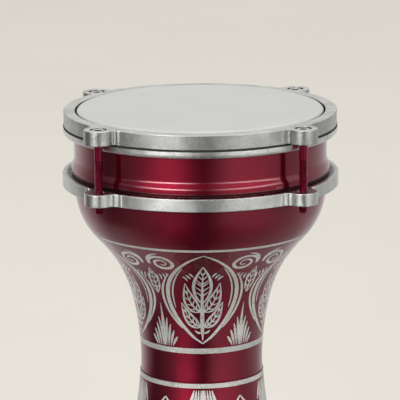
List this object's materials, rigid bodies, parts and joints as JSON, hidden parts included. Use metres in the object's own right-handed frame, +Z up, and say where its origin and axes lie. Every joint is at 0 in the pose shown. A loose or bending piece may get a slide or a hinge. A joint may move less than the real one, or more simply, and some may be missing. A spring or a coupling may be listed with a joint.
{
  "type": "goblet drum",
  "caption": "Goblet hand drum: a cast flaring shell with a white film head clamped by a lugged top hoop, tension screws and a lower ring.",
  "frame": {"origin": "centre of the foot's underside, where the drum stands on a flat surface", "axes": "+Z up the drum's axis to the head; -Y is the front; the lugs stand close to 45 degrees from X and Y"},
  "size_m": [0.1944, 0.1944, 0.3589],
  "materials": {
    "bowl_shell": "red metallic paint under clear lacquer, with engraved ornament and turned bands cut through to bare metal",
    "stem_shell": "red metallic paint under clear lacquer, with engraved ornament and turned bands cut through to bare metal",
    "head_film": "smooth white film, satin",
    "flesh_hoop": "bright rolled aluminium",
    "hoop_resin": "cast resin",
    "clamp_hoop": "cast aluminium, tumbled semi-bright",
    "lower_ring": "cast aluminium, tumbled semi-bright",
    "tension_bolt": "red metallic coated steel"
  },
  "bodies": {
    "shell": {"bowl_shell": "bowl_shell", "stem_shell": "stem_shell", "lower_ring": "lower_ring"},
    "head_clamp": {"clamp_hoop": "clamp_hoop", "flesh_hoop": "flesh_hoop", "head_film": "head_film", "hoop_resin": "hoop_resin"},
    "bolt_front_left": {"tension_bolt_front_left": "tension_bolt"},
    "bolt_front_right": {"tension_bolt_front_right": "tension_bolt"},
    "bolt_back_left": {"tension_bolt_back_left": "tension_bolt"},
    "bolt_back_right": {"tension_bolt_back_right": "tension_bolt"}
  },
  "joints": [
    {"name": "head_clamp_lift", "type": "slide", "parent": "shell", "child": "head_clamp", "axis": [0, 0, 1], "range_m": [0, 0.012]},
    {"name": "bolt_turn_front_left", "type": "hinge", "parent": "head_clamp", "child": "bolt_front_left", "pos_m": [-0.07085, -0.07085, 0.33], "axis": [0, 0, 1], "range_deg": [-4, 4324]},
    {"name": "bolt_turn_front_right", "type": "hinge", "parent": "head_clamp", "child": "bolt_front_right", "pos_m": [0.06897, -0.07268, 0.33], "axis": [0, 0, 1], "range_deg": [-4, 4324]},
    {"name": "bolt_turn_back_left", "type": "hinge", "parent": "head_clamp", "child": "bolt_back_left", "pos_m": [-0.07328, 0.06834, 0.33], "axis": [0, 0, 1], "range_deg": [-4, 4324]},
    {"name": "bolt_turn_back_right", "type": "hinge", "parent": "head_clamp", "child": "bolt_back_right", "pos_m": [0.07023, 0.07147, 0.33], "axis": [0, 0, 1], "range_deg": [-4, 4324]}
  ],
  "couplings": [
    {"joint": "bolt_turn_front_left", "follows": "head_clamp_lift", "rad_per_m": 6283.2},
    {"joint": "bolt_turn_front_right", "follows": "head_clamp_lift", "rad_per_m": 6283.2},
    {"joint": "bolt_turn_back_left", "follows": "head_clamp_lift", "rad_per_m": 6283.2},
    {"joint": "bolt_turn_back_right", "follows": "head_clamp_lift", "rad_per_m": 6283.2}
  ]
}
